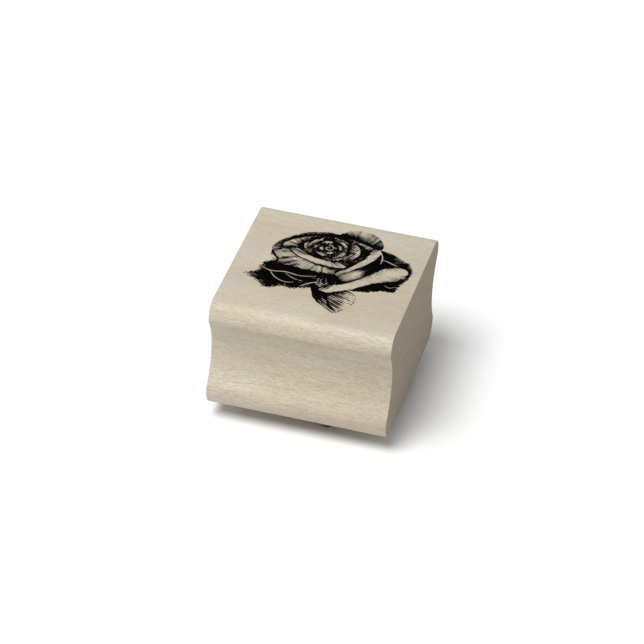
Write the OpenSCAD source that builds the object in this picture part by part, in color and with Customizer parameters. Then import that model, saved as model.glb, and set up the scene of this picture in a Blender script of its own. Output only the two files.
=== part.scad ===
// Wood-mounted rubber stamp: a moulded hardwood block, a foam cushion and a rubber die
// held together by two adhesive films, with the picture that it prints inked on top.
// +Z is up, X runs along the grain of the block, and Z = 0 is the printing face.

/* [Wood mount] */
// Length of the block along the grain
mount_w = 38.1; // [37:0.1:60]
// Depth of the block across its rounded edges
mount_d = 40; // [40:0.5:60]
// Height of the wood alone
mount_h = 25.4; // [22:0.1:28]
// Radius of the long rounded edges at the top
top_nose_r = 3.2; // [2.8:0.1:3.6]
// Radius above the widest line of the foot
foot_nose_r = 2.5; // [2.2:0.1:2.8]
// Radius below the widest line of the foot
foot_under_r = 4.9; // [4.4:0.1:6]
// Height of the widest line of the foot above the wood's underside
foot_z = 3.9; // [3.2:0.1:4.2]
// Radius of the finger cove along the front and back
cove_r = 13.3; // [12:0.1:16]

/* [Cushion and films] */
// Thickness of the foam cushion
cushion_t = 1.5; // [1:0.1:4]
// Thickness of each adhesive film
tape_t = 0.1; // [0.05:0.01:0.2]
// Thickness of the printed ink film
ink_t = 0.05; // [0.03:0.01:0.1]

/* [Rubber die] */
// Thickness of the die's floor, behind the raised picture
floor_t = 1.1; // [0.8:0.1:1.6]
// Height of the raised picture above the floor
relief_h = 0.8; // [0.5:0.1:1.2]
// Width of the grooves that part one petal from the next
groove_w = 0.5; // [0.3:0.05:0.6]

/* [Hidden] */

// Heights of the faces, from the printing face upwards
floor_z = relief_h;
die_tape_z = floor_z + floor_t;
cushion_z = die_tape_z + tape_t;
mount_tape_z = cushion_z + cushion_t;
wood_z = mount_tape_z + tape_t;
top_z = wood_z + mount_h;

// Centres of the section's arcs, as [Y, Z] above the wood's underside
top_nose = [mount_d / 2 - top_nose_r, mount_h - top_nose_r];
foot_nose = [mount_d / 2 - foot_nose_r, foot_z];
foot_under = [mount_d / 2 - foot_under_r, foot_z];
foot_corner = foot_under[0] + sqrt(foot_under_r ^ 2 - foot_z ^ 2);
cove = meeting_point(foot_nose, cove_r + foot_nose_r, top_nose, cove_r + top_nose_r);

// Where the cove runs into the foot and into the top edge
foot_tangent = step_towards(foot_nose, cove, foot_nose_r);
top_tangent = step_towards(top_nose, cove, top_nose_r);

// Edge of the rose in the picture, clockwise from the tip of the left leaf
ROSE_EDGE = [
    [-16.2, -6.6], [-13.6, -4.6], [-13.6, -2.4], [-11.7, -0.4], [-12.5, 2.2], [-12.9, 4.8],
    [-11.6, 7.6], [-8.6, 10.8], [-5, 12.9], [-1.5, 13.3], [0.6, 15], [3.6, 16], [6.7, 15],
    [8.6, 12.8], [9.4, 10.4], [12.4, 9.6], [15.6, 8.1], [17.2, 5], [16.9, 1.8], [16, -0.8],
    [15.4, -3.6], [12.4, -4.2], [9.6, -5.6], [8.4, -7.6], [8.6, -9.8], [7.3, -12.4],
    [5.4, -14.4], [3, -13.2], [0.9, -11.6], [-0.6, -9.4], [-1.8, -7.6], [-4.3, -8.9],
    [-7.3, -9.2], [-10.2, -10.3], [-12.9, -8.8], [-15, -7.6],
];

// Line that the die, the cushion and both films are trimmed to, just outside the rose
TRIM_EDGE = [
    [-17, -6.6], [-14.6, -3.9], [-13.6, -0.6], [-13.8, 4.8], [-12.3, 8.3], [-9.1, 11.5],
    [-5.3, 13.7], [-2, 14.2], [0, 15.6], [3.6, 16.8], [7.3, 15.6], [9.5, 13], [10.4, 11],
    [12.8, 10.4], [16.3, 8.7], [18, 5.2], [17.6, 1.4], [16.8, -1], [16.2, -4.3], [12.6, -5],
    [10.3, -6.2], [9.3, -7.8], [9.4, -10], [7.9, -12.7], [5.4, -14.8], [2.5, -13.8],
    [0.1, -12.1], [-1.4, -9.9], [-2.1, -8.8], [-4.4, -9.7], [-7.2, -10], [-10.3, -11.1],
    [-13.5, -9.5], [-16.1, -8.2],
];

// Lines between one petal and the next, each from end to end
PETAL_LINES = [
    [[-11.2, -0.8], [-7, -1.6], [-2, -1.8], [2.1, -1.5]],
    [[8.6, 10], [7.6, 6.6], [5.2, 3.4], [2.6, -0.6], [2.2, -3]],
    [[2.8, -3.2], [6.4, -0.6], [9.4, 3.2], [12.6, 5.4], [15.6, 4.6]],
    [[15.6, 2.2], [14, -0.4], [10.4, -2.4], [7.6, -4.2]],
    [[-0.9, -7.4], [1.6, -6.4], [4.6, -6.4], [7.6, -6.9]],
    [[-0.9, 12.5], [2, 11.2], [5.4, 10.8], [8.2, 11.5]],
    [[-12.1, 5.4], [-9.4, 8.4], [-5.6, 10.6], [-1, 11.4]],
    [[-8.4, 7], [-6.4, 4.4], [-3, 2.9], [1.2, 3.1], [4.4, 5.2], [5.6, 8.2]],
    [[-10.8, 2.6], [-6.8, 1], [-2.6, 0.9], [1.6, 0.2]],
    [[-14.6, -6.5], [-10.6, -5.4], [-6.6, -5.6], [-2, -4.2]],
    [[0.9, -7.9], [2.6, -10.4], [5, -13.2]],
];

// The furled heart of the bloom
heart = [-1.7, 7.7];
heart_r = [0.7, 2.9];
heart_turns = 1.9;
heart_steps = 26;

// Stretches that each part of a smooth line is cut into
edge_steps = 4;
line_steps = 3;

// The point at distance ra from a and rb from b, on the right of the way from a to b
function meeting_point(a, ra, b, rb) =
    let (gap = norm(b - a), along = (gap ^ 2 + ra ^ 2 - rb ^ 2) / (2 * gap),
         across = sqrt(ra ^ 2 - along ^ 2), way = (b - a) / gap)
    a + along * way + across * [way[1], -way[0]];

// The point reached from a by going a given distance towards b
function step_towards(a, b, distance) = a + distance * (b - a) / norm(b - a);

// A point between b and c on the smooth curve through a, b, c and d
function curve_point(a, b, c, d, t) =
    b + 0.5 * t * ((c - a) + t * (2 * a - 5 * b + 4 * c - d + t * (3 * b - a - 3 * c + d)));

function smooth_loop(pts, steps) =
    let (n = len(pts))
    [for (i = [0:n - 1], k = [0:steps - 1])
        curve_point(pts[(i + n - 1) % n], pts[i], pts[(i + 1) % n], pts[(i + 2) % n], k / steps)];

function smooth_line(pts, steps) =
    let (last = len(pts) - 1)
    [for (i = [0:last - 1], k = [0:steps - (i < last - 1 ? 1 : 0)])
        curve_point(pts[max(i - 1, 0)], pts[i], pts[i + 1], pts[min(i + 2, last)], k / steps)];

// The spiral between the furled petals, wide open at its outer end
function heart_line() =
    [for (k = [0:heart_steps])
        let (t = k / heart_steps, r = heart_r[0] + (heart_r[1] - heart_r[0]) * t)
        heart + r * [cos(360 * heart_turns * t), sin(360 * heart_turns * t)]];

// The outline of a line drawn with a given width, narrower towards its two ends
function stroke(pts, width) =
    let (last = len(pts) - 1,
         sides = [for (i = [0:last])
             let (way = pts[min(i + 1, last)] - pts[max(i - 1, 0)],
                  half = width * (0.25 + 0.25 * sin(180 * i / last)))
             half * [-way[1], way[0]] / norm(way)])
    concat([for (i = [0:last]) pts[i] + sides[i]],
           [for (i = [last:-1:0]) pts[i] - sides[i]]);

module half_section() {
    difference() {
        union() {
            polygon([[0, 0], [foot_corner, 0], foot_tangent, top_tangent,
                     [top_nose[0], mount_h], [0, mount_h]]);
            translate(top_nose) circle(r = top_nose_r, $fn = 96);
            translate(foot_nose) circle(r = foot_nose_r, $fn = 96);
            intersection() {
                translate(foot_under) circle(r = foot_under_r, $fn = 128);
                square([mount_d, foot_z]);
            }
        }
        translate(cove) circle(r = cove_r, $fn = 256);
    }
}

module rose_picture() {
    difference() {
        polygon(smooth_loop(ROSE_EDGE, edge_steps));
        for (line = PETAL_LINES) polygon(stroke(smooth_line(line, line_steps), groove_w));
        polygon(stroke(heart_line(), groove_w));
    }
}

// A layer cut to the trim line, from height z upwards
module trimmed_layer(z, thickness) {
    translate([0, 0, z]) linear_extrude(thickness) polygon(smooth_loop(TRIM_EDGE, edge_steps));
}

module wood_mount() {
    color("wheat") translate([0, 0, wood_z]) rotate([90, 0, 90])
        linear_extrude(mount_w, center = true) {
            half_section();
            mirror([1, 0]) half_section();
        }
}

module index_print() {
    color("black") translate([0, 0, top_z]) linear_extrude(ink_t) rose_picture();
}

module mount_tape() {
    color("khaki") trimmed_layer(mount_tape_z, tape_t);
}

module cushion() {
    color("gray") trimmed_layer(cushion_z, cushion_t);
}

module die_tape() {
    color("khaki") trimmed_layer(die_tape_z, tape_t);
}

module rubber_die() {
    color("firebrick") {
        trimmed_layer(floor_z, floor_t);
        linear_extrude(relief_h) rose_picture();
    }
}

wood_mount();
index_print();
mount_tape();
cushion();
die_tape();
rubber_die();
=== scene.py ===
import math
import bpy
import numpy as np
from mathutils import Matrix, Vector
from mathutils.geometry import delaunay_2d_cdt


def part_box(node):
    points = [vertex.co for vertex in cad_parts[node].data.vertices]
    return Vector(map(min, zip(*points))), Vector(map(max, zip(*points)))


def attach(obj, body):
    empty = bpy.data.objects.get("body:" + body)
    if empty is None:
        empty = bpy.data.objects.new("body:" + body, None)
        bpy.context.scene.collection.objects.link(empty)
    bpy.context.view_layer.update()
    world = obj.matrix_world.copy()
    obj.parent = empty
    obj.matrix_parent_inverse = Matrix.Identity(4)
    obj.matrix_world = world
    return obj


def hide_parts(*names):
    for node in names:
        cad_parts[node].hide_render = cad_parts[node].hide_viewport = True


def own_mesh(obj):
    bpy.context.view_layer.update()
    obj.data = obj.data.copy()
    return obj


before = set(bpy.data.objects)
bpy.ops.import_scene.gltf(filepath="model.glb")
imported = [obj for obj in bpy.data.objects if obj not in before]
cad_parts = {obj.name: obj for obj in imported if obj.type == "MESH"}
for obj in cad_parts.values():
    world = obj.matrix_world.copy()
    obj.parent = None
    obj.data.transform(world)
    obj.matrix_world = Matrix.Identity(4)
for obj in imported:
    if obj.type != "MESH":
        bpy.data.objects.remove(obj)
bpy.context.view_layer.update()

MM = 0.001  # one millimetre in the scene's metres

# ---------------------------------------------------------------- places, from the frame
WOOD_LOW, WOOD_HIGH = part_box("wood_mount")
INK_LOW, INK_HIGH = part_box("index_print")
FOAM_LOW, FOAM_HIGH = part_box("cushion")
DIE_LOW, DIE_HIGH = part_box("rubber_die")


# ---------------------------------------------------------------- the picture: outlines
# The rose is painted petal by petal on a fine grid of tones, from the back to the front, and
# the tones are then broken into ink dots. X and Y are millimetres on the block's top.
GRID_STEP = 0.07  # fine enough for the ink's dots
GRID_X = np.arange(-17.6, 18.6, GRID_STEP)
GRID_Y = np.arange(-15.6, 17.2, GRID_STEP)
PX, PY = np.meshgrid(GRID_X, GRID_Y)
BARE = -0.4  # tone of a stroke that stays bare wood
SOLID = 1.4  # tone of a stroke that prints solid


def smooth_step(low, high, x):
    """0 below low, 1 above high, and a smooth rise between them."""
    t = np.clip((x - low) / (high - low), 0.0, 1.0)
    return t * t * (3.0 - 2.0 * t)


def through(points, steps, closed):
    """Points on the smooth curve that goes through the given points."""
    p = np.array(points, float)
    n = len(p)
    t = np.linspace(0.0, 1.0, steps, endpoint=False)[:, None]
    out = []
    for i in range(n if closed else n - 1):
        if closed:
            a, b, c, d = p[i - 1], p[i], p[(i + 1) % n], p[(i + 2) % n]
        else:
            a, b, c, d = p[max(i - 1, 0)], p[i], p[i + 1], p[min(i + 2, n - 1)]
        bend = 2 * a - 5 * b + 4 * c - d + t * (3 * b - a - 3 * c + d)
        out.append(b + 0.5 * t * ((c - a) + t * bend))
    if not closed:
        out.append(p[-1:])
    return np.concatenate(out)


def window(line, pad):
    """The part of the grid within pad of a line, as slices."""
    low, high = line.min(0) - pad, line.max(0) + pad
    x0, x1 = np.searchsorted(GRID_X, (low[0], high[0]))
    y0, y1 = np.searchsorted(GRID_Y, (low[1], high[1]))
    return slice(y0, y1), slice(x0, x1)


def reach(line, x, y, closed):
    """Distance from each place to a line, and how far along it the nearest point is, from 0 to 1.
    For a closed line the distance is positive inside and negative outside."""
    best = np.full(x.shape, 1e9)
    along = np.zeros(x.shape)
    inside = np.zeros(x.shape, bool)
    ends = np.roll(line, -1, 0) if closed else line[1:]
    count = len(ends)
    for i in range(count):
        (ax, ay), (bx, by) = line[i], ends[i]
        ex, ey = bx - ax, by - ay
        t = np.clip(((x - ax) * ex + (y - ay) * ey) / (ex * ex + ey * ey + 1e-12), 0.0, 1.0)
        d = (x - ax - t * ex) ** 2 + (y - ay - t * ey) ** 2
        nearer = d < best
        best = np.where(nearer, d, best)
        along = np.where(nearer, (i + t) / count, along)
        if closed and ay != by:
            inside ^= ((ay > y) != (by > y)) & (x < ex * (y - ay) / ey + ax)
    best = np.sqrt(best)
    return (np.where(inside, best, -best) if closed else best), along


LATTICE = np.random.RandomState(5).rand(64, 64)


def cloud(x, y):
    """Smooth noise from 0 to 1, with one wave to a unit."""
    i, j = np.floor(x).astype(int), np.floor(y).astype(int)
    u, v = x - i, y - j
    u, v = u * u * (3 - 2 * u), v * v * (3 - 2 * v)

    def at(a, b):
        return LATTICE[a & 63, b & 63]

    low = at(i, j) * (1 - u) + at(i + 1, j) * u
    high = at(i, j + 1) * (1 - u) + at(i + 1, j + 1) * u
    return low * (1 - v) + high * v


FAN_START = 0.35  # how far behind a petal's root its lines meet, as a share of its length
LINE_CONTRAST = 1.8


class Canvas:
    """Tones of the picture, 0 for bare wood and 1 for solid ink, and how far inside the rose each
    place is."""

    def __init__(self):
        self.tone = np.zeros(PX.shape)
        self.inner = np.full(PX.shape, -1.0)

    def petal(self, outline, root, tip, tones, edge=(0.29, 0.25), streaks=0.25, shadow=(0.9, 0.7),
              ruffle=0.12):
        """Paints a petal over what is there.
        tones: at the root, halfway and at the tip; edge: tone added along the outline and its width;
        streaks: strength of the fine lines that fan out from the root; shadow: strength and width
        of the shade on what lies behind; ruffle: how far the outline wanders."""
        line = through(outline, 7, True)
        line = line + ruffle * 2 * (np.stack([cloud(line[:, 0] * 0.9 + 9, line[:, 1] * 0.9),
                                              cloud(line[:, 0] * 0.9, line[:, 1] * 0.9 + 9)], 1) - 0.5)
        part = window(line, 3.5)
        x, y = PX[part], PY[part]
        depth, _ = reach(line, x, y, True)
        inside = depth > 0
        tone, inner = self.tone[part], self.inner[part]
        strength, width = shadow
        shade = strength * np.exp(-np.clip(-depth, 0, None) / width)
        tone = 1 - (1 - tone) * (1 - shade)

        root, tip = np.array(root, float), np.array(tip, float)
        way = tip - root
        length = math.hypot(*way)
        u = ((x - root[0]) * way[0] + (y - root[1]) * way[1]) / length ** 2
        first, middle, last = tones
        body = np.where(u < 0.5, first + (middle - first) * smooth_step(0, 0.5, u),
                        middle + (last - middle) * smooth_step(0.5, 1, u))
        fan = root - FAN_START * way
        angle = np.arctan2(y - fan[1], x - fan[0]) - math.atan2(way[1], way[0])
        angle = (angle + math.pi) % (2 * math.pi) - math.pi
        far = np.hypot(x - fan[0], y - fan[1])
        wide = cloud(angle * length * 2.0 + 50, far * 0.35 + 7) - 0.5
        fine = cloud(angle * length * 4.5 + 20, far * 0.6 + 3) - 0.5
        body = body + LINE_CONTRAST * streaks * (wide + 0.7 * fine)
        body = body + edge[0] * np.exp(-(np.clip(depth, 0, None) / edge[1]) ** 1.3)
        self.tone[part] = np.where(inside, body, tone)
        self.inner[part] = np.maximum(inner, depth)

    def stroke(self, points, width, tone, soft=0.06):
        """Draws a line that thins towards its ends, on the rose only."""
        line = through(points, 8, False)
        part = window(line, 1.0)
        away, along = reach(line, PX[part], PY[part], False)
        half = 0.5 * width * np.sqrt(np.sin(math.pi * np.clip(along, 0.02, 0.98)))
        k = smooth_step(soft, -soft, away - half)
        self.tone[part] = self.tone[part] * (1 - k) + tone * k


FORESHORTENING = 0.82  # height over width of the rings of petals, seen slightly from the front


def polar(centre, angle, radius):
    """The place at an angle in degrees and a radius on a foreshortened ring."""
    a = math.radians(angle)
    return centre[0] + radius * math.cos(a), centre[1] + FORESHORTENING * radius * math.sin(a)


def crescent(centre, angle, half_span, radius, thick, steps=6):
    """The outline of a petal that curls round a centre and thins towards its ends."""
    outer, inner = [], []
    for k in range(-steps, steps + 1):
        turn = angle + half_span * k / steps
        grow = 1 - (k / steps) ** 2
        outer.append(polar(centre, turn, radius + 0.1 * grow))
        inner.append(polar(centre, turn, radius - thick * grow ** 0.7))
    return outer + inner[-2:0:-1]


def paint_rose():
    c = Canvas()
    # outer petals, from the back to the front
    c.petal([(-0.6, 12.2), (0.7, 14.7), (3.7, 15.9), (6.8, 15.0), (8.7, 12.9), (9.0, 10.4), (6.4, 9.4),
             (2.6, 10.0)],
            (4.4, 9.2), (4.1, 15.6), (1.1, 0.5, 0.2), edge=(0.08, 0.3), streaks=0.2)
    c.petal([(7.4, 9.6), (9.4, 10.3), (12.4, 9.6), (15.4, 8.0), (17.1, 5.0), (16.8, 1.8), (16.0, -0.8),
             (15.2, -3.5), (12.2, -4.1), (9.5, -5.4), (6.0, -5.6), (2.8, -4.4), (2.2, -1.4),
             (5.2, 5.2)],
            (6, 0), (16.9, 3.5), (1.05, 1.1, 0.75), edge=(-0.75, 0.45), streaks=0.25)
    c.petal([(-16.1, -6.6), (-13.5, -4.7), (-13.6, -2.6), (-11.6, -0.5), (-6, -0.4), (0.2, -0.8),
             (3.4, -1.4), (2.6, -4.2), (0.4, -5.2), (-1.8, -7.5), (-4.3, -8.7), (-7.3, -9.0),
             (-10.2, -10.1), (-12.9, -8.6), (-15, -7.4)],
            (0, -3), (-15.6, -6.3), (0.85, 1.1, 0.7), edge=(-0.75, 0.6), streaks=0.28)
    c.petal([(-1.4, -6.6), (-0.5, -9.4), (1.0, -11.5), (3.1, -13.0), (5.4, -14.2), (7.1, -12.3),
             (8.4, -9.7), (8.2, -7.7), (6.6, -6.0), (3.2, -5.6), (0.4, -6.0)],
            (0.4, -8.2), (8.0, -9.8), (0.95, 0.5, 0.12), edge=(0.4, 0.16), streaks=0.3)
    # the cup: left, back and right
    c.petal([(-12.7, 4.7), (-11.5, 7.4), (-8.5, 10.6), (-4.9, 12.7), (-1.4, 13.1), (2.4, 12.4),
             (1.6, 9.0), (-3, 4), (-4, 0.2), (-7.5, -0.6), (-11.1, -0.3), (-12.3, 2.2)],
            (-4, 6.4), (-10.4, 11.2), (0.75, 0.35, 0.75), edge=(-0.1, 0.7), streaks=0.25)
    c.petal([(-0.6, 12.8), (2.6, 12.4), (5.8, 11.4), (8.4, 10.3), (8.7, 8.0), (7.4, 5.4), (5.2, 2.2),
             (2.6, -1.0), (0.4, -1.0), (0.6, 4), (-0.6, 9)],
            (2.6, 4.5), (6.6, 11.2), (1.0, 0.75, 0.1), edge=(0.26, 0.2), streaks=0.35)
    c.petal([(-10.9, 6.3), (-8.6, 9.2), (-5.4, 11.3), (-1.8, 11.9), (1.6, 11.2), (1.0, 9.6),
             (-4.8, 8.2), (-7.4, 4.6), (-9.6, 4.4)],
            (-4.4, 7.0), (-8.2, 10.8), (0.9, 0.3, 0.05), edge=(0.22, 0.18), streaks=0.25)
    # the dark bowl, and the petals that curl round the heart
    heart = (-1.5, 7.5)
    c.petal([(-7.2, 7.0), (-5.6, 9.6), (-2.4, 11.2), (1.4, 11.1), (4.8, 9.9), (6.3, 7.6), (5.4, 4.8),
             (2.4, 2.8), (-1.4, 2.4), (-4.8, 3.6)],
            heart, (4.6, 2.6), (1.05, 1.0, 0.7), edge=(-0.15, 0.5), streaks=0.35)
    # each as its angle, half its span, its radius, its thickness and the tone of its rim
    rings = [(80, 58, 5.0, 2.0, 0.35), (358, 50, 6.4, 2.9, 0.05), (212, 50, 5.0, 2.1, 0.2),
             (298, 58, 5.3, 2.4, 0.15), (150, 52, 4.3, 1.7, 0.1), (48, 60, 4.1, 1.7, 0.0),
             (330, 52, 4.0, 1.8, 0.25), (250, 58, 3.4, 1.5, 0.0), (172, 56, 3.0, 1.3, 0.3),
             (100, 62, 2.9, 1.2, 0.05), (20, 60, 2.7, 1.2, 0.1), (285, 66, 2.2, 1.0, 0.05),
             (195, 66, 1.8, 0.9, 0.0), (75, 76, 1.6, 0.8, 0.1)]
    for angle, half_span, radius, thick, rim in rings:
        c.petal(crescent(heart, angle, half_span, radius, thick),
                polar(heart, angle, radius - 1.2 * thick), polar(heart, angle, radius),
                (1.0, 0.42, rim), edge=(0.32, 0.12), streaks=0.28, shadow=(0.85, 0.3), ruffle=0.2)
    c.stroke([polar(heart, 35 * k, 0.2 + 0.07 * k) for k in range(13)], 0.22, BARE)
    # the front of the cup and its turned lip
    c.petal([(-11.8, 3.2), (-9.0, 5.2), (-6.4, 4.4), (-2.0, 2.2), (3.0, 2.6), (4.9, 1.4), (3.4, -0.8),
             (-1.2, -1.5), (-6, -1.3), (-10.3, -0.8), (-12.1, 1.0)],
            (-2.4, 3.6), (-4.6, -1.2), (0.9, 0.16, 0.42), edge=(0.22, 0.2), streaks=0.3,
            shadow=(0.9, 0.5))
    c.petal([(-9.2, 5.3), (-6.6, 5.4), (-4.6, 4.0), (-1.4, 3.2), (2.2, 3.5), (5.0, 5.2), (6.6, 7.6),
             (7.4, 6.4), (5.6, 3.0), (2.6, 1.4), (-1.8, 1.2), (-6.0, 2.6), (-8.2, 4.0)],
            (-1.4, 3.8), (-1.9, 0.9), (0.6, 0.02, 0.55), edge=(0.29, 0.15), streaks=0.28,
            shadow=(0.9, 0.5))
    # petals that open to the right and below
    c.petal([(2.2, -0.8), (3.8, 1.6), (5.6, 4.4), (6.8, 7.4), (7.3, 9.8), (8.9, 10.3), (9.1, 7.8),
             (7.9, 5.0), (6.0, 2.2), (3.9, -0.6), (2.9, -1.6)],
            (4.8, 4.6), (7.6, 3.0), (0.4, 0.03, 0.5), edge=(0.29, 0.16), streaks=0.2, shadow=(1, 0.5))
    c.petal([(3.0, -1.6), (5.4, 1.2), (8.0, 3.6), (9.6, 1.8), (8.4, -0.6), (6.0, -2.4), (4.0, -2.8)],
            (3.6, -2.6), (8.4, 3), (0.3, 0.1, 0.95), edge=(0.14, 0.2), streaks=0.25, shadow=(0.8, 0.5))
    c.petal([(-2.0, -3.0), (1.2, -1.6), (3.6, -3.0), (2.8, -4.8), (0.4, -6.4), (-1.4, -5.2)],
            (0.2, -2.0), (1.2, -6.2), (1.0, 0.7, 0.2), edge=(0.22, 0.2), streaks=0.4, shadow=(0.9, 0.5))
    c.petal([(0.2, -7.1), (2.4, -5.2), (5.0, -3.6), (7.0, -1.6), (9.2, 1.4), (11.4, 4.2), (14.0, 5.4),
             (16.0, 4.6), (16.3, 2.6), (14.8, 0.6), (12.4, -0.6), (10.2, -2.0), (8.4, -3.6),
             (6.8, -5.2), (4.2, -6.8), (2.2, -7.8)],
            (7.0, 0.0), (10.6, -3.8), (0.35, 0.04, 0.55), edge=(0.26, 0.16), streaks=0.2,
            shadow=(1, 0.6))
    # light veins and folds on the dark petals
    for points, width in (
        ([(-13.2, -3.0), (-10.6, -4.0), (-7.6, -3.5), (-4.4, -3.9), (-1.0, -2.9)], 0.26),
        ([(-11.0, -3.9), (-9.2, -6.0), (-7.2, -6.9), (-5.4, -6.7)], 0.22),
        ([(-3.8, -7.6), (-2.0, -5.8), (-0.6, -5.0)], 0.24),
        ([(-8.0, -3.6), (-5.6, -5.2), (-3.4, -5.6)], 0.16),
        ([(9.4, 6.8), (10.8, 6.9), (12.2, 6.3), (13.8, 5.8)], 0.24),
        ([(8.9, 10.0), (9.9, 7.8), (10.1, 5.4)], 0.22),
        ([(12.6, -1.6), (13.8, -2.2), (14.8, -1.6)], 0.18),
    ):
        c.stroke(points, width, BARE)
    # dark folds
    for points, width in (
        ([(-12.2, 5.2), (-9.6, 8.5), (-5.4, 11.3), (-1.2, 12.5), (1.8, 12.0)], 0.7),
        ([(-12.3, 3.0), (-11.4, 1.6), (-10.5, 0.6), (-10.6, -0.8)], 0.5),
        ([(2.2, -8.2), (3.0, -10.6), (4.2, -12.4), (5.5, -13.8)], 0.4),
        ([(-0.6, 12.8), (2.6, 12.2), (5.8, 11.2), (8.4, 10.2)], 0.4),
    ):
        c.stroke(points, width, SOLID)
    return c


DOT_PITCH = 0.54  # millimetres from one ink dot to the next
SCREEN_SLANT = math.radians(60)
SCREEN_DRIFT = 0.3  # how far the dots wander off their screen, as a share of the pitch
LEAST_TONE = 0.10
TONE_SHARE, DOT_SHARE, GRAIN_SHARE = 1.25, 0.85, 0.28  # what decides where there is ink


def ink_field(canvas):
    """Positive where there is ink: the tones, broken into dots on a slanted, slightly uneven
    screen."""
    drift = SCREEN_DRIFT * (cloud(PX * 0.9, PY * 0.9) - 0.5)
    u = (PX * math.cos(SCREEN_SLANT) + PY * math.sin(SCREEN_SLANT)) / DOT_PITCH + drift
    v = (PY * math.cos(SCREEN_SLANT) - PX * math.sin(SCREEN_SLANT)) / DOT_PITCH + drift
    dots = 0.25 * (np.cos(2 * math.pi * u) + np.cos(2 * math.pi * v))
    grain = cloud(PX * 3.1 + 11, PY * 3.1 + 5) - 0.5
    tone = LEAST_TONE + (1 - LEAST_TONE) * np.clip(canvas.tone, BARE, SOLID)
    field = TONE_SHARE * (tone - 0.5) + DOT_SHARE * dots + GRAIN_SHARE * grain
    return np.minimum(field, 3.0 * canvas.inner)  # and none outside the rose


# ---------------------------------------------------------------- the meshes
# Line that the die, the cushion and the films are trimmed to, in millimetres, as in the design
TRIM_EDGE = [
    (-17, -6.6), (-14.6, -3.9), (-13.6, -0.6), (-13.8, 4.8), (-12.3, 8.3), (-9.1, 11.5),
    (-5.3, 13.7), (-2, 14.2), (0, 15.6), (3.6, 16.8), (7.3, 15.6), (9.5, 13), (10.4, 11),
    (12.8, 10.4), (16.3, 8.7), (18, 5.2), (17.6, 1.4), (16.8, -1), (16.2, -4.3), (12.6, -5),
    (10.3, -6.2), (9.3, -7.8), (9.4, -10), (7.9, -12.7), (5.4, -14.8), (2.5, -13.8),
    (0.1, -12.1), (-1.4, -9.9), (-2.1, -8.8), (-4.4, -9.7), (-7.2, -10), (-10.3, -11.1),
    (-13.5, -9.5), (-16.1, -8.2),
]


CORNER_GAP = 0.03  # how far a crossing stays off the grid's corners, as a share of a cell


def level_line(field, level):
    """Points and segments of the line where a field on the picture's grid crosses a level. The
    crossings stay a little off the grid's corners, so that no two of them meet."""
    f = field - level
    f = np.where(f == 0, 1e-9, f)
    high = f > 0
    across = high[:, :-1] != high[:, 1:]
    up = high[:-1, :] != high[1:, :]
    across_id = np.full(across.shape, -1)
    across_id[across] = np.arange(across.sum())
    up_id = np.full(up.shape, -1)
    up_id[up] = across.sum() + np.arange(up.sum())
    j, i = np.nonzero(across)
    t = np.clip(f[j, i] / (f[j, i] - f[j, i + 1]), CORNER_GAP, 1 - CORNER_GAP)
    points = [np.stack([GRID_X[i] + GRID_STEP * t, GRID_Y[j]], 1)]
    j, i = np.nonzero(up)
    t = np.clip(f[j, i] / (f[j, i] - f[j + 1, i]), CORNER_GAP, 1 - CORNER_GAP)
    points.append(np.stack([GRID_X[i], GRID_Y[j] + GRID_STEP * t], 1))
    # the four sides of each cell, in order round it
    sides = np.stack([across_id[:-1], up_id[:, 1:], across_id[1:], up_id[:, :-1]], -1).reshape(-1, 4)
    crossed = (sides >= 0).sum(1)
    two = sides[crossed == 2]
    pairs = [two[two >= 0].reshape(-1, 2)]
    four = sides[crossed == 4]
    pairs += [four[:, :2], four[:, 2:]]
    return np.concatenate(points), np.concatenate(pairs)


def closed_segments(count):
    """The segments that join points into a closed line."""
    return np.stack([np.arange(count), (np.arange(count) + 1) % count], 1)


def triangles(points, segments):
    """Triangles over the points that keep every segment as an edge, with the points in their new
    order, and the region that each triangle is in, where the segments are the regions' borders."""
    made = delaunay_2d_cdt([Vector(p) for p in points.tolist()], segments.tolist(), [], 0, 1e-7, True)
    borders = {tuple(sorted(edge)) for edge, source in zip(made[1], made[4]) if source}
    head = list(range(len(made[2])))

    def find(k):
        while head[k] != k:
            head[k] = head[head[k]]
            k = head[k]
        return k

    first = {}
    for k, (a, b, c) in enumerate(made[2]):
        for edge in ((a, b), (b, c), (c, a)):
            edge = tuple(sorted(edge))
            if edge not in borders:
                head[find(k)] = find(first.setdefault(edge, k))
    region = np.array([find(k) for k in range(len(head))])
    return np.array([tuple(v) for v in made[0]]), np.array(made[2]), region


def sample(field, points):
    """The value of a field on the picture's grid at any points."""
    u = np.clip((points[:, 0] - GRID_X[0]) / GRID_STEP, 0, len(GRID_X) - 1.001)
    v = np.clip((points[:, 1] - GRID_Y[0]) / GRID_STEP, 0, len(GRID_Y) - 1.001)
    i, j = u.astype(int), v.astype(int)
    u, v = u - i, v - j
    low = field[j, i] * (1 - u) + field[j, i + 1] * u
    high = field[j + 1, i] * (1 - u) + field[j + 1, i + 1] * u
    return low * (1 - v) + high * v


def within(field, points, faces, region):
    """Which triangles are in a region where a field on the picture's grid is positive on the whole."""
    a, b, c = points[faces[:, 0]], points[faces[:, 1]], points[faces[:, 2]]
    (abx, aby), (acx, acy) = (b - a).T, (c - a).T
    area = 0.5 * (abx * acy - aby * acx)
    total = np.bincount(region, area * sample(field, (a + b + c) / 3))
    return total[region] > 0


def rim_of(faces):
    """Edges with a triangle on one side only, in the order that their triangle has them."""
    edges = np.concatenate([faces[:, [0, 1]], faces[:, [1, 2]], faces[:, [2, 0]]])
    keys = np.sort(edges, 1)
    _, index, count = np.unique(keys, axis=0, return_index=True, return_counts=True)
    return edges[index[count == 1]]


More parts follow.
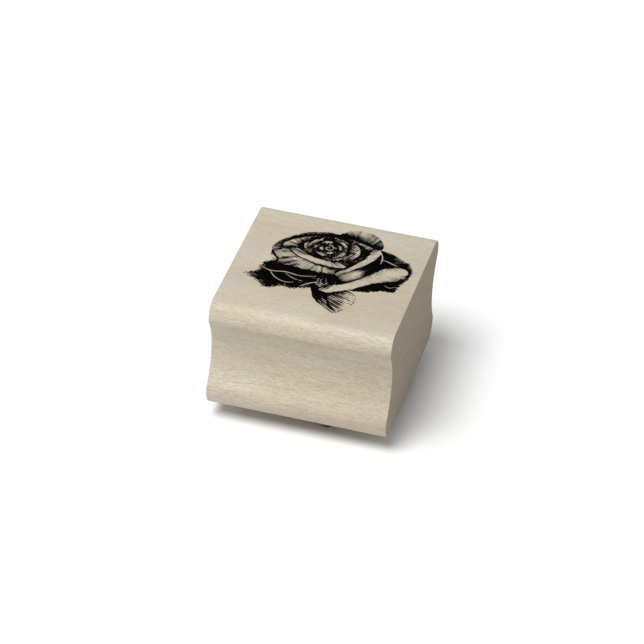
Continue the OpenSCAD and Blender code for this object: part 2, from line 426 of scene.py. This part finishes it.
def slab(points, faces, low, high):
    """A closed solid between two copies of a triangulated outline. low and high are a height, or
    one height for each point."""
    low, high = (np.broadcast_to(np.asarray(h, float), (len(points),)) for h in (low, high))
    used, faces = np.unique(faces, return_inverse=True)
    faces = faces.reshape(-1, 3)
    n = len(used)
    verts = np.concatenate([np.column_stack([points[used], h[used]]) for h in (high, low)])
    rim = rim_of(faces)
    walls = np.stack([rim[:, 1], rim[:, 0], rim[:, 0] + n, rim[:, 1] + n], 1)
    return verts, faces.tolist() + (faces[:, ::-1] + n).tolist() + walls.tolist()


def piece(name, verts, faces, material, smooth=None):
    """An object from millimetres; smooth is the angle in degrees past which an edge stays sharp."""
    mesh = bpy.data.meshes.new(name)
    mesh.from_pydata((np.asarray(verts) * MM).tolist(), [], faces)
    mesh.materials.append(material)
    mesh.update()
    if smooth is not None:
        mesh.shade_smooth()
        mesh.set_sharp_from_angle(angle=math.radians(smooth))
    made = bpy.data.objects.new(name, mesh)
    bpy.context.scene.collection.objects.link(made)
    return made


# ---------------------------------------------------------------- the materials
class Look:
    """A node material with one Principled shader, and short ways to add nodes to it."""

    def __init__(self, name, **sockets):
        self.material = bpy.data.materials.new(name)
        self.material.use_nodes = True
        self.tree = self.material.node_tree
        self.shader = self.tree.nodes["Principled BSDF"]
        for socket, value in sockets.items():
            self.shader.inputs[socket.replace("_", " ")].default_value = value
        coordinates = self.tree.nodes.new("ShaderNodeTexCoord")
        self.normal = coordinates.outputs["Normal"]
        self.place = self.add("ShaderNodeVectorMath", {0: coordinates.outputs["Object"], 3: 1 / MM},
                              operation="SCALE").outputs[0]  # in millimetres

    def add(self, kind, inputs, **settings):
        node = self.tree.nodes.new(kind)
        for key, value in settings.items():
            setattr(node, key, value)
        for key, value in inputs.items():
            self.feed(node.inputs[key], value)
        return node

    def feed(self, socket, value):
        if isinstance(value, bpy.types.NodeSocket):
            self.tree.links.new(value, socket)
        else:
            socket.default_value = value

    def math(self, operation, a, b=0.0):
        return self.add("ShaderNodeMath", {0: a, 1: b}, operation=operation).outputs[0]

    def vector(self, operation, a, b, c=(0.0, 0.0, 0.0)):
        node = self.add("ShaderNodeVectorMath", {0: a, 1: b, 2: c}, operation=operation)
        return node.outputs["Value" if operation == "DISTANCE" else "Vector"]

    def stretched(self, scale, place=None):
        """The place, with each axis in waves a millimetre."""
        return self.vector("MULTIPLY", place or self.place, scale)

    def noise(self, scale, place=None, detail=2.0, rough=0.5, output=0):
        """Smooth noise round 0.5; output 1 is a different noise on each axis."""
        return self.add("ShaderNodeTexNoise", {"Vector": self.stretched(scale, place), "Scale": 1.0,
                                               "Detail": detail, "Roughness": rough}).outputs[output]

    def between(self, value, low, high, to_low=0.0, to_high=1.0):
        """Maps low..high smoothly to to_low..to_high."""
        return self.add("ShaderNodeMapRange", {0: value, 1: low, 2: high, 3: to_low, 4: to_high},
                        interpolation_type="SMOOTHSTEP").outputs[0]

    def mix(self, share, a, b):
        """Mixes two colours."""
        node = self.add("ShaderNodeMix", {0: share}, data_type="RGBA")
        for index, value in ((6, a), (7, b)):
            if not isinstance(value, bpy.types.NodeSocket):
                value = (*value, 1.0)
            self.feed(node.inputs[index], value)
        return node.outputs[2]

    def blend(self, share, a, b):
        """Mixes two numbers."""
        return self.add("ShaderNodeMix", {0: share, 2: a, 3: b}, data_type="FLOAT").outputs[0]

    def colour(self, value):
        self.feed(self.shader.inputs["Base Color"], value)

    def roughness(self, value):
        self.feed(self.shader.inputs["Roughness"], value)

    def bump(self, height, millimetres):
        """Adds relief of the given height."""
        inputs = {"Height": height, "Distance": millimetres * MM, "Strength": 1.0}
        self.feed(self.shader.inputs["Normal"], self.add("ShaderNodeBump", inputs).outputs[0])


TREE_HEART = (0.0, -16.0, -30.0)  # Y and Z of the middle of the tree's rings, in millimetres
RING_WIDTH = 4.3  # one year's growth, in millimetres
GRAIN_BEND = (0.0, 11.0, 11.0)  # how far the grain wanders, in millimetres
CREAM, STRAW = (0.535, 0.483, 0.385), (0.500, 0.437, 0.326)
WARM_CLOUD, COOL_CLOUD = (0.535, 0.442, 0.328), (0.505, 0.475, 0.412)
LATE_WOOD = (0.42, 0.30, 0.19)
DARK_LINE, PALE_LINE = (0.37, 0.31, 0.225), (0.66, 0.62, 0.52)
PORE, FLECK, FIBRE = (0.30, 0.215, 0.15), (0.36, 0.30, 0.225), (0.37, 0.31, 0.23)
# painted shade laid on the top face, darker and greyer than the lit sides
TOP_PAINTED_SHADE = (0.30, 0.290, 0.270)
SAWN_PALE, SAWN_DARK = (0.336, 0.294, 0.222), (0.286, 0.244, 0.180)
SAWN_BLOTCH, SAWN_LATE, SAWN_SPECK = (0.325, 0.262, 0.192), (0.23, 0.17, 0.12), (0.22, 0.185, 0.145)


def maple():
    look = Look("maple", Specular_IOR_Level=0.42)
    # the grain runs along X and bends slowly; the rings curve round the tree's heart, below the block
    bend = look.noise((0.013, 0.04, 0.04), output=1)
    bend = look.vector("SUBTRACT", bend, (0.5, 0.5, 0.5))
    bent = look.vector("MULTIPLY_ADD", bend, GRAIN_BEND, look.place)
    across = look.vector("MULTIPLY", bent, (0.0, 1.0, 1.0))
    radius = look.vector("DISTANCE", across, TREE_HEART)
    ring = look.math("FRACT", look.math("DIVIDE", radius, RING_WIDTH))
    late = look.math("MULTIPLY", look.between(ring, 0.62, 0.93), look.between(ring, 1.0, 0.95))
    # the end grain shows where the surface looks along X
    along_x, along_y, along_z = look.add("ShaderNodeSeparateXYZ", {0: look.normal}).outputs
    end = look.between(look.math("ABSOLUTE", along_x), 0.6, 0.85)

    # long bands, warm and cool clouds, and late wood
    tint = look.mix(look.between(look.noise((0.03, 0.12, 0.12), bent), 0.38, 0.64), CREAM, STRAW)
    clouds = look.noise((0.07, 0.2, 0.2), bent, detail=2.0)
    tint = look.mix(look.between(clouds, 0.50, 0.72, 0.0, 0.65), tint, WARM_CLOUD)
    tint = look.mix(look.between(clouds, 0.46, 0.30, 0.0, 0.55), tint, COOL_CLOUD)
    tint = look.mix(look.math("MULTIPLY", late, 0.22), tint, LATE_WOOD)
    # fine lines and short pores along the grain
    lines = look.noise((0.25, 4.2, 4.2), bent, detail=3.0, rough=0.65)
    tint = look.mix(look.between(lines, 0.52, 0.68, 0.0, 0.45), tint, DARK_LINE)
    tint = look.mix(look.between(lines, 0.47, 0.33, 0.0, 0.40), tint, PALE_LINE)
    pores = look.noise((0.5, 7.0, 7.0), bent, detail=1.0)
    tint = look.mix(look.between(pores, 0.58, 0.72, 0.0, 0.5), tint, PORE)
    # short flecks, which show best on the moulded sides
    flecks = look.noise((1.1, 7.5, 7.5), bent, detail=0.0)
    shown = look.between(look.math("ABSOLUTE", along_y), 0.1, 0.6, 0.3, 1.0)
    dark = look.math("MULTIPLY", look.between(flecks, 0.58, 0.70, 0.0, 0.68), shown)
    pale = look.math("MULTIPLY", look.between(flecks, 0.42, 0.28, 0.0, 0.26), shown)
    tint = look.mix(pale, look.mix(dark, tint, FLECK), PALE_LINE)
    # painted shade: faces that look up are darkened and greyed a little, so the top reads darker than
    # the lit nose
    tint = look.mix(look.between(along_z, 0.7, 1.0, 0.0, 0.16), tint, TOP_PAINTED_SHADE)
    fibres = look.noise((0.2, 11.0, 11.0), bent, detail=3.0, rough=0.7)
    tint = look.mix(look.between(fibres, 0.35, 0.7, 0.0, 0.22), tint, FIBRE)
    # the sawn ends are darker and greyer, with faint marks that run up and down
    streaks = look.noise((0.0, 2.6, 0.3), detail=3.0, rough=0.6)
    sawn = look.mix(look.between(streaks, 0.35, 0.68), SAWN_PALE, SAWN_DARK)
    blotches = look.noise((0.3, 0.22, 0.22), detail=2.0)
    sawn = look.mix(look.between(blotches, 0.45, 0.7, 0.0, 0.5), sawn, SAWN_BLOTCH)
    sawn = look.mix(look.math("MULTIPLY", late, 0.16), sawn, SAWN_LATE)
    specks = look.noise((5.0, 5.0, 5.0), detail=2.0)
    sawn = look.mix(look.between(specks, 0.55, 0.72, 0.0, 0.35), sawn, SAWN_SPECK)
    look.colour(look.mix(end, tint, sawn))
    # the sides have a soft sheen, and the sawn ends are dull
    sheen = look.between(fibres, 0.3, 0.7, 0.37, 0.52)
    dull = look.between(specks, 0.3, 0.7, 0.85, 0.98)
    look.roughness(look.blend(end, sheen, dull))
    saw_marks = look.noise((0.0, 6.0, 0.35), detail=2.0)
    look.bump(look.blend(end, fibres, saw_marks), 0.04)
    return look.material


def ink():
    look = Look("black_ink", Specular_IOR_Level=0.01)
    worn = look.noise((0.9, 5.0, 5.0), detail=3.0)
    black, thin = (0.0014, 0.0013, 0.0013), (0.02, 0.017, 0.013)
    look.colour(look.mix(look.between(worn, 0.60, 0.80, 0.0, 0.5), black, thin))
    look.roughness(look.between(worn, 0.3, 0.7, 0.7, 0.95))
    look.bump(worn, 0.01)
    return look.material


def film():
    look = Look("adhesive_film")
    cloudy = look.noise((1.2, 1.2, 9.0), detail=3.0)
    look.colour(look.mix(cloudy, (0.50, 0.44, 0.27), (0.66, 0.61, 0.45)))
    look.roughness(look.between(cloudy, 0.3, 0.7, 0.18, 0.4))
    look.bump(cloudy, 0.01)
    return look.material


def foam():
    look = Look("foam")
    place = look.stretched((5.0, 5.0, 5.0))
    cells = look.add("ShaderNodeTexVoronoi", {"Vector": place, "Scale": 1.0}).outputs[0]
    patches = look.noise((0.5, 0.5, 0.5), detail=2.0)
    tint = look.mix(look.between(cells, 0.15, 0.65), (0.045, 0.045, 0.048), (0.17, 0.17, 0.175))
    look.colour(look.mix(look.between(patches, 0.4, 0.7, 0.0, 0.35), tint, (0.11, 0.11, 0.112)))
    look.roughness(look.between(cells, 0.1, 0.6, 0.95, 0.75))
    look.bump(look.between(cells, 0.1, 0.6), 0.06)
    return look.material


def rubber():
    look = Look("die_rubber")
    height = look.add("ShaderNodeSeparateXYZ", {0: look.place}).outputs[2]
    patches = look.noise((0.35, 0.35, 0.8), detail=3.0)
    grains = look.noise((9.0, 9.0, 9.0), detail=2.0)
    tint = look.mix(look.between(patches, 0.35, 0.68), (0.21, 0.030, 0.020), (0.165, 0.023, 0.016))
    tint = look.mix(look.between(grains, 0.55, 0.72, 0.0, 0.3), tint, (0.26, 0.052, 0.038))
    # the sunk floor keeps some of the pale dust of its mould
    sunk = look.between(height, 0.15, 0.75)
    dusty = look.math("MULTIPLY", sunk, look.between(patches, 0.3, 0.7, 0.25, 0.6))
    look.colour(look.mix(dusty, tint, (0.33, 0.125, 0.095)))
    look.roughness(look.between(height, 0.0, 0.6, 0.42, 0.72))
    look.bump(look.math("ADD", grains, look.noise((0.4, 9.0, 0.4))), 0.02)
    return look.material


# ---------------------------------------------------------------- the block
TOP_NOSE_R = 3.2  # the rounded top edge
FOOT_NOSE_R = 2.5  # the foot, above its widest place
FOOT_UNDER_R = 4.9  # and below it
FOOT_Z = 3.9  # height of the foot's widest place
COVE_R = 13.3
EASED = 0.18  # the sanded edges
ARC_STEP = math.radians(3.5)


def arc(centre, radius, start, stop):
    """Points along an arc, both ends included."""
    count = max(2, math.ceil(abs(stop - start) / ARC_STEP))
    return [(centre[0] + radius * math.cos(a), centre[1] + radius * math.sin(a))
            for a in np.linspace(start, stop, count + 1)]


def block_side(half_depth, height):
    """The moulded side of the block from its underside to the flat top, as Y and Z."""
    top = np.array([half_depth - TOP_NOSE_R, height - TOP_NOSE_R])
    foot = np.array([half_depth - FOOT_NOSE_R, FOOT_Z])
    under = np.array([half_depth - FOOT_UNDER_R, FOOT_Z])
    gap = math.dist(foot, top)
    from_foot, from_top = COVE_R + FOOT_NOSE_R, COVE_R + TOP_NOSE_R
    along = (gap ** 2 + from_foot ** 2 - from_top ** 2) / (2 * gap)
    way = (top - foot) / gap
    cove = foot + along * way + math.sqrt(from_foot ** 2 - along ** 2) * np.array([way[1], -way[0]])

    def bearing(a, b):
        return math.atan2(b[1] - a[1], b[0] - a[0])

    corner = -math.asin(FOOT_Z / FOOT_UNDER_R)
    side = arc(under, FOOT_UNDER_R, corner, 0.0)
    side += arc(foot, FOOT_NOSE_R, 0.0, bearing(foot, cove))[1:]
    side += arc(cove, COVE_R, bearing(cove, foot) + 2 * math.pi, bearing(cove, top))[1:]
    side += arc(top, TOP_NOSE_R, bearing(top, cove), math.pi / 2)[1:]
    # the sharp lower corner is sanded a little
    (y0, z0), (y1, z1) = side[0], side[1]
    share = EASED / math.dist(side[0], side[1])
    return [(y0 - EASED, z0), (y0 - 0.25 * EASED, z0 + 0.12 * EASED),
            (y0 + share * (y1 - y0), z0 + share * (z1 - z0))] + side[1:]


def wood_block():
    low, high = np.array(WOOD_LOW) / MM, np.array(WOOD_HIGH) / MM
    side = block_side(high[1], high[2] - low[2])
    ring = np.array(side + [(-y, z) for y, z in reversed(side)])
    n = len(ring)
    ways = np.roll(ring, -1, 0) - np.roll(ring, 1, 0)
    inward = np.stack([-ways[:, 1], ways[:, 0]], 1) / np.linalg.norm(ways, axis=1)[:, None]
    # each end is eased in three steps: how far from the end, and how far in from the side
    steps = [(0.0, EASED), (0.08 * EASED, 0.6 * EASED), (0.3 * EASED, 0.3 * EASED), (EASED, 0.0)]
    rows = [(low[0] + far, deep) for far, deep in steps]
    rows += [(high[0] - far, deep) for far, deep in reversed(steps)]
    verts = []
    for x, deep in rows:
        at = ring + deep * inward
        verts += [(x, y, low[2] + z) for y, z in at]
    faces = []
    for r in range(len(rows) - 1):
        for k in range(n):
            a, b = r * n + k, r * n + (k + 1) % n
            faces.append((a, b, b + n, a + n))
    sides = len(faces)
    last = (len(rows) - 1) * n
    for k in range(n // 2 - 1):
        faces.append((k, n - 1 - k, n - 2 - k, k + 1))
        faces.append((last + k, last + k + 1, last + n - 2 - k, last + n - 1 - k))
    made = piece("maple_block", verts, faces, maple(), smooth=30)
    for polygon in made.data.polygons[sides:]:
        polygon.use_smooth = False
    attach(made, "mount")
    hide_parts("wood_mount")


# ---------------------------------------------------------------- the picture in ink
def inked_picture(field):
    points, faces, region = triangles(*level_line(field, 0.0))
    inked = faces[within(field, points, faces, region)]
    verts, faces = slab(points, inked, INK_LOW[2] / MM, INK_HIGH[2] / MM)
    made = piece("inked_rose", verts, faces, ink())
    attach(made, "mount")
    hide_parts("index_print")


# ---------------------------------------------------------------- the stack under the block
RELIEF = 0.8  # height of the raised picture
SHOULDER = 0.25  # depth just beside an inked edge
SHOULDER_LEVEL = -0.3  # where the shoulder ends, on the picture's field
LEVEL_SLACK = 0.02  # allowance when a point's place on the field is read back
VALLEY_REACH = 6  # grid cells over which the rubber falls to its floor
VALLEY_SLOPE = 2.4
VALLEY_START = 0.03  # how far from the ink the valley's slope starts
TRIM_MARGIN = 0.15  # how far inside the trim the shoulders stay
CLEAR_OF_INK, CLEAR_OF_TRIM = 0.13, 0.12  # how far the plain points stay off the lines
COARSE = 3  # the plain points lie on every third place of the grid


def clearance(field):
    """Distance from each place on the grid to the nearest ink, up to the valley's reach."""
    inked = field > 0
    best = np.full(field.shape, (VALLEY_REACH + 1.0) * GRID_STEP)
    for dj in range(-VALLEY_REACH, VALLEY_REACH + 1):
        for di in range(-VALLEY_REACH, VALLEY_REACH + 1):
            far = math.hypot(di, dj) * GRID_STEP
            if far <= VALLEY_REACH * GRID_STEP:
                hit = np.roll(inked, (dj, di), (0, 1))
                best[hit] = np.minimum(best[hit], far)
    return best


def rubber_die(field):
    trim = through(TRIM_EDGE, 8, True)
    gap = clearance(field)
    inside, _ = reach(trim, PX, PY, True)
    edge, edge_lines = level_line(field, 0.0)
    kept_in = np.minimum(field, 8 * (inside - TRIM_MARGIN) + SHOULDER_LEVEL)
    shoulder, shoulder_lines = level_line(kept_in, SHOULDER_LEVEL)
    # plain points between the lines
    open_floor = ((gap > CLEAR_OF_INK) & (inside > CLEAR_OF_TRIM))[::COARSE, ::COARSE]
    plain = np.stack([PX[::COARSE, ::COARSE][open_floor], PY[::COARSE, ::COARSE][open_floor]], 1)
    points = np.concatenate([edge, shoulder, plain, trim])
    lines = np.concatenate([edge_lines, shoulder_lines + len(edge),
                            closed_segments(len(trim)) + len(edge) + len(shoulder) + len(plain)])
    points, faces, region = triangles(points, lines)
    faces = faces[within(inside, points, faces, region)]
    valley = VALLEY_SLOPE * np.clip(sample(gap, points) - VALLEY_START, 0, None)
    depth = np.minimum(RELIEF, valley)
    value = sample(field, points)
    depth = np.where(value > SHOULDER_LEVEL - LEVEL_SLACK, np.minimum(SHOULDER, depth), depth)
    depth = np.where(value > -LEVEL_SLACK, 0.0, depth)
    verts, faces = slab(points, faces, DIE_LOW[2] / MM + depth, DIE_HIGH[2] / MM)
    made = piece("rose_die", verts, faces, rubber())
    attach(made, "die")
    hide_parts("rubber_die")


WAIST = 0.16  # how far the foam's cut edge draws in
TORN = 0.09  # and how uneven it is
FOAM_ROWS = 9  # rows of points up the cut edge


def foam_cushion():
    trim = through(TRIM_EDGE, 12, True)
    n = len(trim)
    ways = np.roll(trim, -1, 0) - np.roll(trim, 1, 0)
    inward = np.stack([ways[:, 1], -ways[:, 0]], 1) / np.linalg.norm(ways, axis=1)[:, None]
    low, high = FOAM_LOW[2] / MM, FOAM_HIGH[2] / MM
    verts, faces = [], []
    for r in range(FOAM_ROWS):
        t = r / (FOAM_ROWS - 1)
        waist = WAIST * math.sin(math.pi * t)
        torn = TORN * cloud(trim[:, 0] * 3.3 + 31 * t, trim[:, 1] * 3.3 + 17 * t)
        at = trim + inward * (waist + torn * math.sin(math.pi * t) ** 0.5)[:, None]
        verts.append(np.column_stack([at, np.full(n, low + t * (high - low))]))
    for r in range(FOAM_ROWS - 1):
        for k in range(n):
            a, b = r * n + k, r * n + (k + 1) % n
            faces.append((a, a + n, b + n, b))
    points, cap, _ = triangles(trim, closed_segments(n))
    middle = points[cap].mean(1)
    inside, _ = reach(trim, middle[:, 0], middle[:, 1], True)
    cap = cap[inside > 0]
    faces += cap[:, ::-1].tolist() + (cap + (FOAM_ROWS - 1) * n).tolist()
    made = piece("foam_cushion", np.concatenate(verts), faces, foam(), smooth=40)
    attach(made, "mount")
    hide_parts("cushion")
    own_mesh(made)


def adhesive_films():
    material = film()
    for name in ("mount_tape", "die_tape"):
        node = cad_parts[name]
        for slot in node.material_slots:
            slot.material = material


# ---------------------------------------------------------------- the studio
CAMERA_TURN = math.radians(13.4)  # to the right of the front
CAMERA_RISE = math.radians(35.8)  # above the level of the floor
CAMERA_ROLL = math.radians(3.3)
CAMERA_AWAY = 0.692  # metres from the place it looks at
CAMERA_AIM = Vector((-0.2, -0.3, -0.4)) * MM  # from the middle of the wooden block
CAMERA_LENS = 187.0
FLOOR_HALF = 6.0  # metres from the middle of the floor to its edges
FLOOR_TONE = 0.82
AMBIENT = 0.42  # brightness of the sky all round
KEY = 1.0  # light that the key lamp gives a surface that faces it
KEY_FROM = (-0.25, -0.37, 0.90)
KEY_WIDTH = math.radians(32)


def set_camera():
    data = bpy.data.cameras.new("camera")
    data.sensor_width = 36.0
    data.lens = CAMERA_LENS
    data.clip_end = 20.0
    camera = bpy.data.objects.new("camera", data)
    bpy.context.scene.collection.objects.link(camera)
    bpy.context.scene.camera = camera
    aim = (Vector(WOOD_LOW) + Vector(WOOD_HIGH)) / 2 + CAMERA_AIM
    turn = (Matrix.Rotation(CAMERA_TURN, 4, "Z") @ Matrix.Rotation(math.pi / 2 - CAMERA_RISE, 4, "X")
            @ Matrix.Rotation(CAMERA_ROLL, 4, "Z"))
    camera.matrix_world = Matrix.Translation(aim) @ turn @ Matrix.Translation((0, 0, CAMERA_AWAY))


def lay_floor():
    mesh = bpy.data.meshes.new("floor")
    h = FLOOR_HALF
    mesh.from_pydata([(-h, -h, 0), (h, -h, 0), (h, h, 0), (-h, h, 0)], [], [(0, 1, 2, 3)])
    look = Look("floor", Base_Color=(FLOOR_TONE, FLOOR_TONE, FLOOR_TONE, 1.0), Roughness=0.9)
    mesh.materials.append(look.material)
    floor = bpy.data.objects.new("floor", mesh)
    bpy.context.scene.collection.objects.link(floor)


def light():
    bpy.context.scene.view_settings.view_transform = "Standard"
    # the sky lights the stamp softly, and is plain white behind the floor
    world = bpy.data.worlds.new("studio")
    world.use_nodes = True
    tree = world.node_tree
    sky = tree.nodes["Background"]
    sky.inputs["Color"].default_value = (1.0, 1.0, 1.0, 1.0)
    seen = tree.nodes.new("ShaderNodeLightPath").outputs["Is Camera Ray"]
    strength = tree.nodes.new("ShaderNodeMapRange")
    strength.inputs["To Min"].default_value = AMBIENT
    tree.links.new(seen, strength.inputs["Value"])
    tree.links.new(strength.outputs["Result"], sky.inputs["Strength"])
    bpy.context.scene.world = world

    sun = bpy.data.lights.new("key", "SUN")
    sun.energy = KEY * math.pi
    sun.angle = KEY_WIDTH
    key = bpy.data.objects.new("key", sun)
    key.rotation_mode = "QUATERNION"
    key.rotation_quaternion = Vector(KEY_FROM).to_track_quat("Z", "Y")
    bpy.context.scene.collection.objects.link(key)


# ---------------------------------------------------------------- everything, in order
rose = ink_field(paint_rose())
wood_block()
inked_picture(rose)
rubber_die(rose)
foam_cushion()
adhesive_films()
set_camera()
lay_floor()
light()
